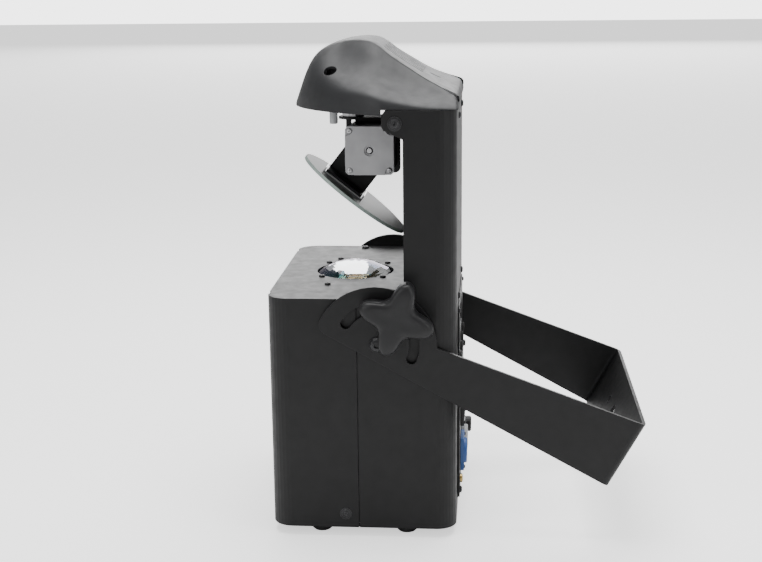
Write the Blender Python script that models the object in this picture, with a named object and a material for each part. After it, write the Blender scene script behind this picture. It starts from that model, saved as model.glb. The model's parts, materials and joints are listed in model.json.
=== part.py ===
"""Moving-mirror effect light (scanner): housing, hood, pan and tilt mirror, clamp yoke.

+Z is up, -Y is the front (the mirror looks that way), +X is the side with the right-hand knob.
All sizes below are in millimetres; MM turns them into Blender's metres.
"""
import math

import bmesh
import bpy
from mathutils import Matrix, Vector

MM = 0.001
GAP = 0.3                    # clearance left between touching pieces

# ---- driving dimensions: housing --------------------------------------------------------------
HALF_WIDTH = 110.0           # housing side faces at X = +-110
FRONT = -80.0                # front face
REAR = 81.0                  # rear face
SEAM = -3.0                  # side seam between front cover and rear shell
COLUMN_FRONT = 37.0          # front edge of the column's side panels
COLUMN_PANEL = 58.0          # recessed front panel of the column
FOOT_HEIGHT = 8.0
BODY_BOTTOM = FOOT_HEIGHT
DECK_TOP = 213.0
COLUMN_TOP = 370.0
SHEET = 1.5                  # sheet-steel thickness
FRONT_RADIUS = 18.0
REAR_RADIUS = 17.0

# ---- optics and mirror head ---------------------------------------------------------------------
BEAM_Y = -14.3
BEAM = (0, BEAM_Y)           # plan position of the light path, which is also the pan axis
LENS_HOLE_RADIUS = 35.0
LENS_TOP = 223.0
LENS_SPHERE = 57.0
TILT_Y, TILT_Z = 3.8, 328.7  # tilt axis, along X
MOTOR = 42.3                 # stepper frame size
MOTOR_CAP_X = 44.3           # outer face of the tilt motor
MIRROR_SLOPE = math.radians(38)
MIRROR_LONG, MIRROR_WIDE, MIRROR_THICK = 112.0, 78.0, 3.0
MIRROR_DROP = 44.2           # tilt axis to the mirror's back
MIRROR_OFFSET = 13.8         # mirror centre, down the slope from the tilt axis

# ---- hood -------------------------------------------------------------------------------------
HOOD_RIM = 366.0
HOOD_NOSE = -64.5
HOOD_SHOULDER = 19.0         # forward of this the rim narrows to the nose
HOOD_HALF_WIDTH = 109.0
HOOD_WALL = 2.6
CHASSIS_BOTTOM = 366.3
CHASSIS_TOP = 367.8
EAR_SCREW_Y, EAR_SCREW_Z = 30.5, 359.3   # screws through the column's ears
STOP_X, STOP_Y = 32.0, -28.1  # pan stop post
PAN_FLANGE = 352.3           # underside of the pan bracket's flange

# ---- yoke ---------------------------------------------------------------------------------------
PIVOT_Y, PIVOT_Z = 14.5, 175.0
YOKE_ANGLE = math.radians(-28.8)   # arms slope down to the rear
YOKE_INNER, YOKE_OUTER = 111.5, 114.5
YOKE_LENGTH = 230.5          # pivot to the crossbar's outer face
YOKE_LOW, YOKE_HIGH = -13.6, 49.0  # strip edges, measured across the arm from the pivot
HEAD_RADIUS, HEAD_DROP = 52.0, 3.0
SLOT_RADIUS, SLOT_HALF_WIDTH = 31.5, 4.5
SLOT_ENDS = (5.5, 175.0)     # degrees from the arm's direction
CLAMP_ANGLE = math.radians(56)
CLAMP_Y = PIVOT_Y + SLOT_RADIUS * math.cos(CLAMP_ANGLE)
CLAMP_Z = PIVOT_Z + SLOT_RADIUS * math.sin(CLAMP_ANGLE)

# ---- rear panel ---------------------------------------------------------------------------------
PLATE_HALF, PLATE_LOW, PLATE_HIGH = 80.0, 25.0, 130.0
PLATE_FACE = 83.3
POWER_Z, DATA_Z = 56.0, 98.0
SOCKET_X = (42.0, 6.0)
FLANGE_W, FLANGE_H = 26.0, 31.0
FUSE_X = -30.0
EARTH_X, EARTH_Z = 70.0, 40.0
BUTTON_Z = 147.0
BUTTON_X = {"button_menu": -51.0, "button_down": -17.0, "button_up": 17.0, "button_enter": 51.0}

# ---- inside -------------------------------------------------------------------------------------
WHEEL_OFFSET = 34.0          # wheel centres lie this far to each side of the light path
WHEEL_RADIUS = 48.0
FAN_LOW = BODY_BOTTOM + 2 + GAP
FRAME_PLATE = 129.0          # underside of the optics frame's deck

# The origin is on the floor, under the middle of the whole object with its yoke at rest.
YOKE_REAR = (PIVOT_Y + YOKE_LENGTH * math.cos(YOKE_ANGLE) - YOKE_HIGH * math.sin(YOKE_ANGLE))
FRAME_SHIFT = Vector((0, -(FRONT + YOKE_REAR) / 2, 0))

AXES = {"X": (1, 2, 0), "Y": (0, 2, 1), "Z": (0, 1, 2)}   # first, second and extrusion axis


# ---- outlines -----------------------------------------------------------------------------------
def arc(centre, radius, start, end, steps):
    """Points on an arc, angles in degrees, both ends included."""
    angles = [math.radians(start + (end - start) * i / steps) for i in range(steps + 1)]
    return [(centre[0] + radius * math.cos(a), centre[1] + radius * math.sin(a)) for a in angles]


def circle(centre, radius, steps=24):
    return arc(centre, radius, 0, 360, steps)[:-1]


def rectangle(low, high):
    return [(low[0], low[1]), (high[0], low[1]), (high[0], high[1]), (low[0], high[1])]


def rounded_rectangle(low, high, radius, steps=5):
    x0, y0, x1, y1 = low[0] + radius, low[1] + radius, high[0] - radius, high[1] - radius
    corners = [((x1, y0), -90), ((x1, y1), 0), ((x0, y1), 90), ((x0, y0), 180)]
    return [p for centre, start in corners for p in arc(centre, radius, start, start + 90, steps)]


def arc_slot(centre, radius, half_width, start, end, steps):
    """A slot that follows an arc, with round ends."""
    def point(angle):
        return (centre[0] + radius * math.cos(math.radians(angle)),
                centre[1] + radius * math.sin(math.radians(angle)))
    return (arc(centre, radius + half_width, start, end, steps)
            + arc(point(end), half_width, end, end + 180, 6)[1:-1]
            + arc(centre, radius - half_width, end, start, steps)
            + arc(point(start), half_width, start + 180, start + 360, 6)[1:-1])


# ---- mesh building ------------------------------------------------------------------------------
def add_rings(bm, rings, cap=True):
    """Skin equal rings of points one after another, and close both ends."""
    loops = [[bm.verts.new(p) for p in ring] for ring in rings]
    count = len(loops[0])
    for low, high in zip(loops, loops[1:]):
        for i in range(count):
            j = (i + 1) % count
            bm.faces.new((low[i], low[j], high[j], high[i]))
    if cap:
        bm.faces.new(loops[0][::-1])
        bm.faces.new(loops[-1])


def add_prism(bm, outline, axis, low, high):
    """Extrude an outline along an axis."""
    first, second, along = AXES[axis]
    rings = []
    for level in (low, high):
        ring = []
        for a, b in outline:
            point = [0.0, 0.0, 0.0]
            point[first], point[second], point[along] = a, b, level
            ring.append(point)
        rings.append(ring)
    add_rings(bm, rings)


def add_lathe(bm, profile, axis, centre, steps=24, closed=False):
    """Turn (radius, height) points about an axis through centre, given in the other two directions."""
    first, second, along = AXES[axis]

    def ring_point(radius, height, angle):
        point = [0.0, 0.0, 0.0]
        point[first] = centre[0] + radius * math.cos(angle)
        point[second] = centre[1] + radius * math.sin(angle)
        point[along] = height
        return bm.verts.new(point)

    angles = [2 * math.pi * i / steps for i in range(steps)]
    rings = []
    for radius, height in profile:
        if radius == 0:
            rings.append([ring_point(0, height, 0)])
        else:
            rings.append([ring_point(radius, height, a) for a in angles])
    pairs = list(zip(rings, rings[1:]))
    if closed:
        pairs.append((rings[-1], rings[0]))
    for low, high in pairs:
        for i in range(steps):
            j = (i + 1) % steps
            corners = [low[i % len(low)], low[j % len(low)], high[j % len(high)], high[i % len(high)]]
            bm.faces.new(list(dict.fromkeys(corners)))
    if not closed:
        for ring in (rings[0], rings[-1]):
            if len(ring) > 1:
                bm.faces.new(ring)


# ---- objects ------------------------------------------------------------------------------------
def clear_scene():
    for obj in list(bpy.data.objects):
        bpy.data.objects.remove(obj, do_unlink=True)


def finish(name, colour, roughness, metallic):
    """A Principled material for one sub-part."""
    material = bpy.data.materials.new(name)
    material.use_nodes = True
    shader = material.node_tree.nodes["Principled BSDF"]
    shader.inputs["Base Color"].default_value = (*colour, 1)
    shader.inputs["Roughness"].default_value = roughness
    shader.inputs["Metallic"].default_value = metallic
    return material


FINISHES = {
    "black_paint": ((0.02, 0.02, 0.022), 0.45, 0.0),
    "hood_plastic": ((0.06, 0.062, 0.066), 0.55, 0.0),
    "black_plastic": ((0.025, 0.025, 0.028), 0.5, 0.0),
    "rubber": ((0.03, 0.03, 0.03), 0.8, 0.0),
    "steel": ((0.6, 0.6, 0.6), 0.35, 1.0),
    "black_steel": ((0.03, 0.03, 0.03), 0.4, 0.6),
    "aluminium": ((0.62, 0.62, 0.63), 0.4, 1.0),
    "blue_plastic": ((0.04, 0.13, 0.42), 0.4, 0.0),
    "grey_plastic": ((0.45, 0.46, 0.47), 0.45, 0.0),
    "glass": ((0.9, 0.95, 0.93), 0.05, 0.0),
    "mirror": ((0.55, 0.57, 0.56), 0.1, 1.0),
    "board": ((0.02, 0.12, 0.06), 0.5, 0.0),
    "brass": ((0.7, 0.52, 0.22), 0.35, 1.0),
}


def solid(name, bm, look, origin=(0, 0, 0), tilt=0.0):
    """Make the named object from a bmesh in millimetres, with its origin at the given point.

    An upright piece is drawn in the housing's axes. A tilted one is drawn from its own origin, with
    Y along the slope and Z across it, and then turned about X.
    """
    origin = Vector(origin)
    bmesh.ops.recalc_face_normals(bm, faces=bm.faces)
    mesh = bpy.data.meshes.new(name)
    bm.to_mesh(mesh)
    bm.free()
    if not tilt:
        mesh.transform(Matrix.Translation(-origin))
    mesh.transform(Matrix.Scale(MM, 4))
    mesh.shade_smooth()
    mesh.set_sharp_from_angle(angle=math.radians(35))
    mesh.materials.append(finish(name, *FINISHES[look]))
    obj = bpy.data.objects.new(name, mesh)
    obj.location = (origin + FRAME_SHIFT) * MM
    obj.rotation_euler.x = tilt
    bpy.context.scene.collection.objects.link(obj)
    return obj


def combine(target, operation, bm):
    """Cut from, join to or intersect with the target a shape drawn in the same axes."""
    origin = target.location / MM - FRAME_SHIFT
    modifier = target.modifiers.new(operation.lower(), "BOOLEAN")
    name = f"{target.name}_{operation.lower()}_{len(target.modifiers)}"
    shape = solid(name, bm, "steel", origin, target.rotation_euler.x)
    shape.hide_render = True
    shape.display_type = "WIRE"
    modifier.operation = operation
    modifier.solver = "EXACT"
    modifier.object = shape


def prism_node(name, outline, axis, low, high, look, origin=(0, 0, 0), tilt=0.0):
    bm = bmesh.new()
    add_prism(bm, outline, axis, low, high)
    return solid(name, bm, look, origin, tilt)


def lathe_node(name, profile, axis, centre, look, steps=24, closed=False, origin=(0, 0, 0)):
    bm = bmesh.new()
    add_lathe(bm, profile, axis, centre, steps, closed)
    return solid(name, bm, look, origin)


def cut_prisms(target, *prisms):
    """Cut several separate prisms, each (outline, axis, low, high), in one operation."""
    bm = bmesh.new()
    for outline, axis, low, high in prisms:
        add_prism(bm, outline, axis, low, high)
    combine(target, "DIFFERENCE", bm)


# ---- housing ------------------------------------------------------------------------------------
def body_outline(inset, rear):
    """Plan outline of the front half of the housing, open corners at the rear edge."""
    x, y, r = HALF_WIDTH - inset, FRONT + inset, FRONT_RADIUS - inset
    return (arc((-x + r, y + r), r, 180, 270, 8) + arc((x - r, y + r), r, 270, 360, 8)
            + [(x, rear), (-x, rear)])


def make_base_plate():
    inset = SHEET + GAP
    outline = rounded_rectangle((-HALF_WIDTH + inset, FRONT + inset),
                                (HALF_WIDTH - inset, REAR - inset), FRONT_RADIUS - inset)
    plate = prism_node("base_plate", outline, "Z", BODY_BOTTOM, BODY_BOTTOM + 2, "black_paint")
    slots = []
    for x in range(-24, 25, 8):
        slot = rounded_rectangle((x - 2, BEAM_Y - 24), (x + 2, BEAM_Y + 24), 1.5, 1)
        slots.append((slot, "Z", BODY_BOTTOM - 2, BODY_BOTTOM + 4))
    cut_prisms(plate, *slots)


def make_front_cover():
    """Folded sheet: U-shaped front with the deck that carries the lens window."""
    rear = COLUMN_PANEL - GAP
    side, inner = HALF_WIDTH, HALF_WIDTH - SHEET - GAP
    step = COLUMN_FRONT - 2 * GAP
    outline = body_outline(0, step)[:-1] + [(inner, step), (inner, rear), (-inner, rear),
                                            (-inner, step), (-side, step)]
    cover = prism_node("front_cover", outline, "Z", BODY_BOTTOM, DECK_TOP, "black_paint")
    edge = SEAM - 0.4
    hollow = body_outline(SHEET, edge)[:-1] + [(side + 5, edge), (side + 5, rear + 5),
                                               (-side - 5, rear + 5), (-side - 5, edge),
                                               (-side + SHEET, edge)]
    cut_prisms(cover, (hollow, "Z", BODY_BOTTOM - 5, DECK_TOP - SHEET))
    window = (circle((0, BEAM_Y), LENS_HOLE_RADIUS, 48), "Z", DECK_TOP - 3, DECK_TOP + 2)
    reliefs = [(rectangle((x - 5, FRONT - 1), (x + 5, FRONT + 1.2)), "Z", DECK_TOP - 1.2, DECK_TOP + 1)
               for x in (-88, 88)]
    cut_prisms(cover, window, *reliefs)


def make_rear_shell():
    """Folded sheet: both rear side walls, the column's sides and the rear wall."""
    x, y, r = HALF_WIDTH, REAR, REAR_RADIUS
    front = SEAM + 0.4
    outer = [(x, front)] + arc((x - r, y - r), r, 0, 90, 8) + arc((-x + r, y - r), r, 90, 180, 8) + [(-x, front)]
    x, y, r = x - SHEET, y - SHEET, r - SHEET
    inner = [(-x, front)] + arc((-x + r, y - r), r, 180, 90, 8) + arc((x - r, y - r), r, 90, 0, 8) + [(x, front)]
    shell = prism_node("rear_shell", outer + inner, "Z", BODY_BOTTOM, COLUMN_TOP, "black_paint")
    low = DECK_TOP - SHEET - GAP
    ear = [(front - 5, low), (COLUMN_FRONT, low), (COLUMN_FRONT, 346.4)]
    ear += arc((24.6, 358.0), 5.0, 247, 180, 4) + arc((25.6, 364.0), 6.0, 180, 90, 5)
    ear += [(25.6, COLUMN_TOP + 5), (front - 5, COLUMN_TOP + 5)]
    cut_prisms(shell, (ear, "X", -HALF_WIDTH - 5, HALF_WIDTH + 5))
    sides = ("X", -HALF_WIDTH - 5, HALF_WIDTH + 5)
    rear = ("Y", REAR - 6, REAR + 6)
    cuts = [(circle((PIVOT_Y, PIVOT_Z), 4.4, 16), *sides),
            (circle((CLAMP_Y, CLAMP_Z), 4.4, 16), *sides),
            (circle((EAR_SCREW_Y, EAR_SCREW_Z), 2.4, 12), *sides),
            (rectangle((-PLATE_HALF + 14, PLATE_LOW + 10), (PLATE_HALF - 14, PLATE_HIGH - 10)), *rear),
            (rectangle((-31, 159), (31, 189)), *rear)]
    cuts += [(circle((x, BUTTON_Z), 5.0, 16), *rear) for x in BUTTON_X.values()]
    cut_prisms(shell, *cuts)


def make_column_front_panel():
    half = HALF_WIDTH - SHEET - GAP
    prism_node("column_front_panel", rectangle((-half, DECK_TOP + GAP), (half, CHASSIS_TOP)),
               "Y", COLUMN_PANEL, COLUMN_PANEL + SHEET, "black_paint")


def make_feet():
    profile = [(0, 0), (7.4, 0), (9.0, 1.6), (9.0, 6.4), (8.2, BODY_BOTTOM - GAP), (0, BODY_BOTTOM - GAP)]
    for side, x in (("right", 93), ("left", -93)):
        for end, y in (("front", -37.5), ("rear", 37.5)):
            lathe_node(f"foot_{end}_{side}", profile, "Z", (x, y), "rubber", 16)


def make_ear_screws():
    """Button-head screws through the column's ears into the chassis flanges."""
    for side, sign in (("right", 1), ("left", -1)):
        x = HALF_WIDTH + GAP / 3
        profile = [(0, x - SHEET), (2.0, x - SHEET), (2.0, x), (6.0, x), (6.0, x + 0.9), (4.2, x + 1.1),
                   (3.7, x + 2.2), (2.4, x + 3.0), (1.4, x + 3.2), (1.2, x + 1.8), (0, x + 1.8)]
        profile = [(r, sign * h) for r, h in profile]
        lathe_node(f"ear_screw_{side}", profile, "X", (EAR_SCREW_Y, EAR_SCREW_Z), "black_steel", 12)


# ---- hood ---------------------------------------------------------------------------------------
def smooth_value(table, position):
    """Value of a smooth curve through a short table of (position, value) pairs."""
    if position <= table[0][0]:
        return table[0][1]
    for i in range(len(table) - 1):
        (p0, v0), (p1, v1) = table[i], table[i + 1]
        if position <= p1:
            before, after = table[max(i - 1, 0)], table[min(i + 2, len(table) - 1)]
            slope0 = (v1 - before[1]) / (p1 - before[0])
            slope1 = (after[1] - v0) / (after[0] - p0)
            t, span = (position - p0) / (p1 - p0), p1 - p0
            return ((2 * t**3 - 3 * t**2 + 1) * v0 + (t**3 - 2 * t**2 + t) * span * slope0
                    + (3 * t**2 - 2 * t**3) * v1 + (t**3 - t**2) * span * slope1)
    return table[-1][1]


CREST_HEIGHT = [(HOOD_NOSE, HOOD_RIM + 0.4), (-58.6, 381), (-53.9, 393.3), (-48.2, 404.8), (-41.5, 412.8),
                (-31.7, 418.6), (-20.9, 422.2), (-9, 424), (4, 423.6), (12.3, 420.2), (23, 412),
                (37.9, 402.3), (53.8, 392.6), (74.2, 383), (80.2, 379), (82.2, 373)]
CREST_WIDTH = [(HOOD_NOSE, 2), (-58, 12), (-48, 18), (-33, 23), (-22, 26), (-9, 35), (3, 42),
               (20, 49), (54, 62), (77, 84), (82.2, 88)]
DOMED = [(1, 0), (0.975, 0.2), (0.93, 0.38), (0.85, 0.55), (0.72, 0.70), (0.54, 0.83),
         (0.33, 0.92), (0.14, 0.97), (0, 0.99)]
FLARED = [(1, 0), (0.985, 0.16), (0.93, 0.28), (0.78, 0.38), (0.55, 0.50), (0.34, 0.66),
          (0.18, 0.83), (0.06, 0.95), (0, 0.985)]
FLARE_AMOUNT = [(-45, 0), (-10, 0.85), (15, 1), (55, 1), (82, 0.35)]
HOOD_STATIONS = [-64.2, -62.4, -59, -54.5, -49, -42, -33, -22, -10, 1, 10, 19.5, 31, 44, 58, 70, 77.5,
                 81, 82.2]


def rim_half_width(y):
    if y >= HOOD_SHOULDER:
        return HOOD_HALF_WIDTH
    reach = (HOOD_SHOULDER - y) / (HOOD_SHOULDER - HOOD_NOSE)
    return HOOD_HALF_WIDTH * math.sqrt(1 - reach ** 1.3)


def hood_section(y, inset, floor):
    """One cross-section, from the +X rim over the crest to the -X rim."""
    rim = rim_half_width(y) - inset
    crest = max(min(smooth_value(CREST_WIDTH, y) - inset * 0.6, rim * 0.8), 0.5)
    height = smooth_value(CREST_HEIGHT, y) - inset - HOOD_RIM
    flare = smooth_value(FLARE_AMOUNT, y)
    half = [(rim, floor)]
    for (dx, dz), (fx, fz) in zip(DOMED, FLARED):
        across = dx + (fx - dx) * flare
        up = dz + (fz - dz) * flare
        half.append((crest + (rim - crest) * across, HOOD_RIM + height * up))
    half += [(crest * 0.66, HOOD_RIM + height * 0.997), (crest * 0.33, HOOD_RIM + height)]
    if half[0][1] == half[1][1]:
        half.pop(0)
    return half + [(0, half[-1][1])] + [(-x, z) for x, z in reversed(half)]


def hood_loft(bm, inset, floor):
    """The hood's outer form, or the same form set in by the wall for its hollow."""
    rings = []
    tail, back = 70.0, HOOD_STATIONS[-1]
    for station in HOOD_STATIONS:
        y = station
        if station < 0:
            y += inset
        elif station > tail:
            y -= inset * (station - tail) / (back - tail)
        rings.append([(x, y, z) for x, z in hood_section(station, inset, floor)])
    if inset:
        rings = rings[2:]
    add_rings(bm, rings)


def make_hood():
    bm = bmesh.new()
    hood_loft(bm, 0, HOOD_RIM)
    hood = solid("hood", bm, "hood_plastic")
    bm = bmesh.new()
    hood_loft(bm, HOOD_WALL, HOOD_RIM - 6)
    combine(hood, "DIFFERENCE", bm)
    over = HALF_WIDTH + 5
    cuts = [(rectangle((-over, HOOD_SHOULDER), (over, REAR + 10)), "Z", HOOD_RIM - 4, COLUMN_TOP + GAP)]
    cuts += [(rounded_rectangle((x - 1.3, 16), (x + 1.3, 50), 1.2, 2), "Z", 385, 430)
             for x in (-32, -20, -8, 4, 16, 28)]
    cuts.append((rounded_rectangle((-2, 54), (2.4, 64), 1.9, 2), "Z", 378, 400))
    cuts += [(circle((x, -27), 5.6, 20), "Z", HOOD_RIM + 8, 430) for x in (-46, 46)]
    cut_prisms(hood, *cuts)


def make_hood_chassis():
    """Steel channel over the column's ears, with a tongue that carries the pan motor."""
    half, low = HALF_WIDTH - SHEET - GAP, EAR_SCREW_Z - 6
    rear, front, tongue = COLUMN_PANEL - GAP, -46.0, 40.0
    inner = half - SHEET
    section = [(-half, low), (-inner, low), (-inner, CHASSIS_BOTTOM), (inner, CHASSIS_BOTTOM),
               (inner, low), (half, low), (half, CHASSIS_TOP), (-half, CHASSIS_TOP)]
    chassis = prism_node("hood_chassis", section, "Y", front, rear, "black_paint")
    wings = [([(s * tongue, front - 5), (s * (half + 5), front - 5), (s * (half + 5), 21), (s * tongue, 21)],
              "Z", low - 5, CHASSIS_TOP + 5) for s in (1, -1)]
    pilot = (circle(BEAM, 11.5, 20), "Z", low, CHASSIS_TOP + 5)
    cut_prisms(chassis, *wings, pilot)


def motor_outline(centre, size=MOTOR, chamfer=4.0):
    h, c = size / 2, chamfer
    a, b = centre
    return [(a + h - c, b - h), (a + h, b - h + c), (a + h, b + h - c), (a + h - c, b + h),
            (a - h + c, b + h), (a - h, b + h - c), (a - h, b - h + c), (a - h + c, b - h)]


def make_pan_motor():
    bm = bmesh.new()
    base = CHASSIS_TOP + GAP
    add_prism(bm, motor_outline(BEAM), "Z", base, base + 38)
    motor = solid("pan_motor", bm, "black_steel")
    bm = bmesh.new()
    add_lathe(bm, [(0, CHASSIS_BOTTOM + 0.6), (11, CHASSIS_BOTTOM + 0.6), (11, base + 5), (0, base + 5)],
              "Z", (0, BEAM_Y))
    combine(motor, "UNION", bm)


def make_pan_stop_post():
    low, top = 351.0, CHASSIS_BOTTOM - GAP
    profile = [(0, low), (3.1, low), (3.6, low + 0.5), (3.6, top), (0, top)]
    lathe_node("pan_stop_post", profile, "Z", (STOP_X, STOP_Y), "grey_plastic", 20)


# ---- pan head -----------------------------------------------------------------------------------
PAN_ORIGIN = (0, BEAM_Y, PAN_FLANGE)


def make_pan_hub():
    low, top = PAN_FLANGE + 2 + GAP, CHASSIS_BOTTOM - 1
    profile = [(0, low), (9.8, low), (9.8, top), (2.5, top), (2.5, top + 1.2), (0, top + 1.2)]
    lathe_node("pan_hub", profile, "Z", BEAM, "aluminium", 20, origin=PAN_ORIGIN)


def make_pan_bracket():
    """L-shaped bracket: a flange on the pan shaft and a plate that holds the tilt motor."""
    outline = (arc((23, 308.7), 5, 270, 360, 4) + [(28, PAN_FLANGE + 1), (-20.5, PAN_FLANGE + 1)]
               + arc((-15.5, 308.7), 5, 180, 270, 4))
    bracket = prism_node("pan_bracket", outline, "X", 1.5, 3.5, "black_paint", PAN_ORIGIN)
    bm = bmesh.new()
    flange = arc(BEAM, 13, 180, 360, 12) + [(13, 12), (-13, 12)]
    add_prism(bm, flange, "Z", PAN_FLANGE, PAN_FLANGE + 2)
    combine(bracket, "UNION", bm)
    cut_prisms(bracket, (circle((TILT_Y, TILT_Z), 11.4), "X", 0, 5),
               (rectangle((-15.7, 348.2), (-12.3, 351.2)), "X", 0, 5))


TILT_ORIGIN = (0, TILT_Y, TILT_Z)


def make_tilt_motor():
    """Stepper on its side: front pilot and steel body, with a cast rear cap."""
    outline = motor_outline((TILT_Y, TILT_Z))
    motor = prism_node("tilt_motor", outline, "X", 3.8, MOTOR_CAP_X - 12 - GAP, "black_steel", PAN_ORIGIN)
    bm = bmesh.new()
    add_lathe(bm, [(0, 1.8), (11, 1.8), (11, 8), (0, 8)], "X", (TILT_Y, TILT_Z))
    combine(motor, "UNION", bm)
    bore = circle((TILT_Y, TILT_Z), 3.2, 16)
    cut_prisms(motor, (bore, "X", 0, 50))
    cap = prism_node("tilt_motor_cap", motor_outline((TILT_Y, TILT_Z), chamfer=2.5), "X",
                     MOTOR_CAP_X - 12, MOTOR_CAP_X, "aluminium", PAN_ORIGIN)
    cut_prisms(cap, (bore, "X", 0, 50))
    half = MOTOR / 2
    pockets = [(circle((TILT_Y + sy * (half - 1.2), TILT_Z + sz * (half - 1.2)), 6.6, 20), "X",
                MOTOR_CAP_X - 1.6, MOTOR_CAP_X + 3) for sy in (1, -1) for sz in (1, -1)]
    dish = (circle((TILT_Y, TILT_Z), 4.6, 20), "X", MOTOR_CAP_X - 1.4, MOTOR_CAP_X + 3)
    cut_prisms(cap, dish, *pockets)


# ---- tilting mirror: drawn from the tilt axis, Y down the mirror's slope, Z up from its face --------
def make_tilt_shaft():
    profile = [(0, -11), (2.5, -11), (2.5, -6.2), (8, -6.2), (8, -1), (2.5, -1), (2.5, 43.6), (2, 44.0), (0, 44.0)]
    lathe_node("tilt_shaft", profile, "X", (TILT_Y, TILT_Z), "steel", 16, origin=TILT_ORIGIN)


def make_mirror_bracket():
    """Folded plate from the tilt shaft down to the mirror's tray, with its upper corners cut off."""
    foot, thick = -MIRROR_DROP + 1.6, 2.0
    x, wide, top = -8.5, 19.5, 15.0
    fold = [(x, foot), (14, foot), (14, foot + thick), (x + thick, foot + thick), (x + thick, top), (x, top)]
    bracket = prism_node("mirror_bracket", fold, "Y", -wide, wide, "black_paint", TILT_ORIGIN, -MIRROR_SLOPE)
    corners = [([(s * 6, top + 1), (s * 14.5, top / 2), (s * (wide + 1), -8), (s * (wide + 1), top + 1)],
                "X", x - 3, x + 5) for s in (1, -1)]
    cut_prisms(bracket, (circle((0, 0), 2.8, 12), "X", x - 3, x + 5), *corners)


def make_mirror_tray():
    """Thin tray glued to the mirror's back, with turned-up ends."""
    base = -MIRROR_DROP + 0.15
    outline = [(-21.6, base), (21.6, base), (21.6, base + 4.6), (20.4, base + 4.6), (20.4, base + 1.1),
               (-20.4, base + 1.1), (-20.4, base + 4.6), (-21.6, base + 4.6)]
    prism_node("mirror_tray", outline, "X", -14, 16, "aluminium", TILT_ORIGIN, -MIRROR_SLOPE)


def make_mirror():
    steps = 48
    angles = [2 * math.pi * i / steps for i in range(steps)]
    outline = [(MIRROR_WIDE / 2 * math.cos(a), MIRROR_OFFSET + MIRROR_LONG / 2 * math.sin(a)) for a in angles]
    prism_node("mirror", outline, "Z", -MIRROR_DROP - MIRROR_THICK, -MIRROR_DROP, "mirror",
               TILT_ORIGIN, -MIRROR_SLOPE)


# ---- lens and lamp ------------------------------------------------------------------------------
def make_front_lens():
    base = LENS_TOP - LENS_SPHERE
    edge = 36.4
    dome = [(edge * i / 6, base + math.sqrt(LENS_SPHERE**2 - (edge * i / 6) ** 2)) for i in range(6, -1, -1)]
    lathe_node("front_lens", [(0, 204), (edge, 204)] + dome, "Z", BEAM, "glass", 32)


def make_lens_retainer():
    top = DECK_TOP - SHEET - GAP
    profile = [(31, 199), (46, 199), (46, top), (36.8, top), (36.8, 203.7), (31, 203.7)]
    lathe_node("lens_retainer", profile, "Z", BEAM, "black_plastic", 32, closed=True)


def make_optics_frame():
    """Bridge over the lamp: two legs and a deck that carries the wheel motors."""
    leg, inner = 106.0, 104.0
    floor = BODY_BOTTOM + 2 + GAP
    outline = [(leg, floor), (leg, FRAME_PLATE + 2), (-leg, FRAME_PLATE + 2), (-leg, floor),
               (-inner, floor), (-inner, FRAME_PLATE), (inner, FRAME_PLATE), (inner, floor)]
    frame = prism_node("optics_frame", outline, "Y", -55, 12, "steel")
    holes = [(circle(BEAM, 20), "Z", FRAME_PLATE - 4, FRAME_PLATE + 6)]
    holes += [(circle((x, BEAM_Y), 3.4, 12), "Z", FRAME_PLATE - 4, FRAME_PLATE + 6)
              for x in (-WHEEL_OFFSET, WHEEL_OFFSET)]
    cut_prisms(frame, *holes)


def make_wheel(name, x, height, holes, hole_radius):
    """A wheel on its motor shaft, with a ring of openings that pass the light path one by one."""
    shaft_top = FRAME_PLATE + 4.5
    profile = [(0, height), (WHEEL_RADIUS, height), (WHEEL_RADIUS, height + 1.5), (7, height + 1.5),
               (7, height + 5), (2.5, height + 5), (2.5, shaft_top), (0, shaft_top)]
    wheel = lathe_node(name, profile, "Z", (x, BEAM_Y), "aluminium", 24, origin=(x, BEAM_Y, height))
    openings = []
    for i in range(holes):
        angle = 2 * math.pi * i / holes + (math.pi if x > 0 else 0)
        centre = (x + WHEEL_OFFSET * math.cos(angle), BEAM_Y + WHEEL_OFFSET * math.sin(angle))
        openings.append((circle(centre, hole_radius, 8), "Z", height - 2, height + 4))
    cut_prisms(wheel, *openings)


def make_wheel_motor(name, x):
    base = FRAME_PLATE + 2 + GAP
    motor = lathe_node(name, [(0, base), (17.5, base), (17.5, base + 22), (0, base + 22)], "Z",
                       (x + math.copysign(3.5, x), BEAM_Y), "steel", 24)
    cut_prisms(motor, (circle((x, BEAM_Y), 3.4, 12), "Z", base - 2, base + 6))


def make_light_tube():
    profile = [(23, 62.4), (26, 62.4), (26, 112), (23, 112)]
    lathe_node("light_tube", profile, "Z", BEAM, "black_plastic", 24, closed=True)


def make_condenser_lens():
    dome = [(22.7 * i / 3, 88 + 10 * math.cos(math.pi / 2 * i / 3)) for i in range(3, -1, -1)]
    lathe_node("condenser_lens", [(0, 86), (22.7, 86)] + dome, "Z", BEAM, "glass", 20)


def make_led_board():
    profile = [(0, 62.4), (20, 62.4), (20, 64), (8.5, 64), (8, 64.8), (0, 64.8)]
    lathe_node("led_board", profile, "Z", BEAM, "board", 16)


def make_heatsink():
    """Aluminium block with fins that hang down into the fan's air."""
    half, low, web, high = 35.0, 27.0, 56.0, 62.1
    fins, thick = 9, 2.0
    pitch = (2 * half - thick) / (fins - 1)
    outline = [(half, high), (-half, high)]
    for i in range(fins):
        x = -half + i * pitch
        outline += [(x, web), (x, low), (x + thick, low), (x + thick, web)]
    outline = [outline[0], outline[1]] + outline[3:-1]
    prism_node("heatsink", outline, "Y", BEAM_Y - half, BEAM_Y + half, "aluminium")


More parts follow.
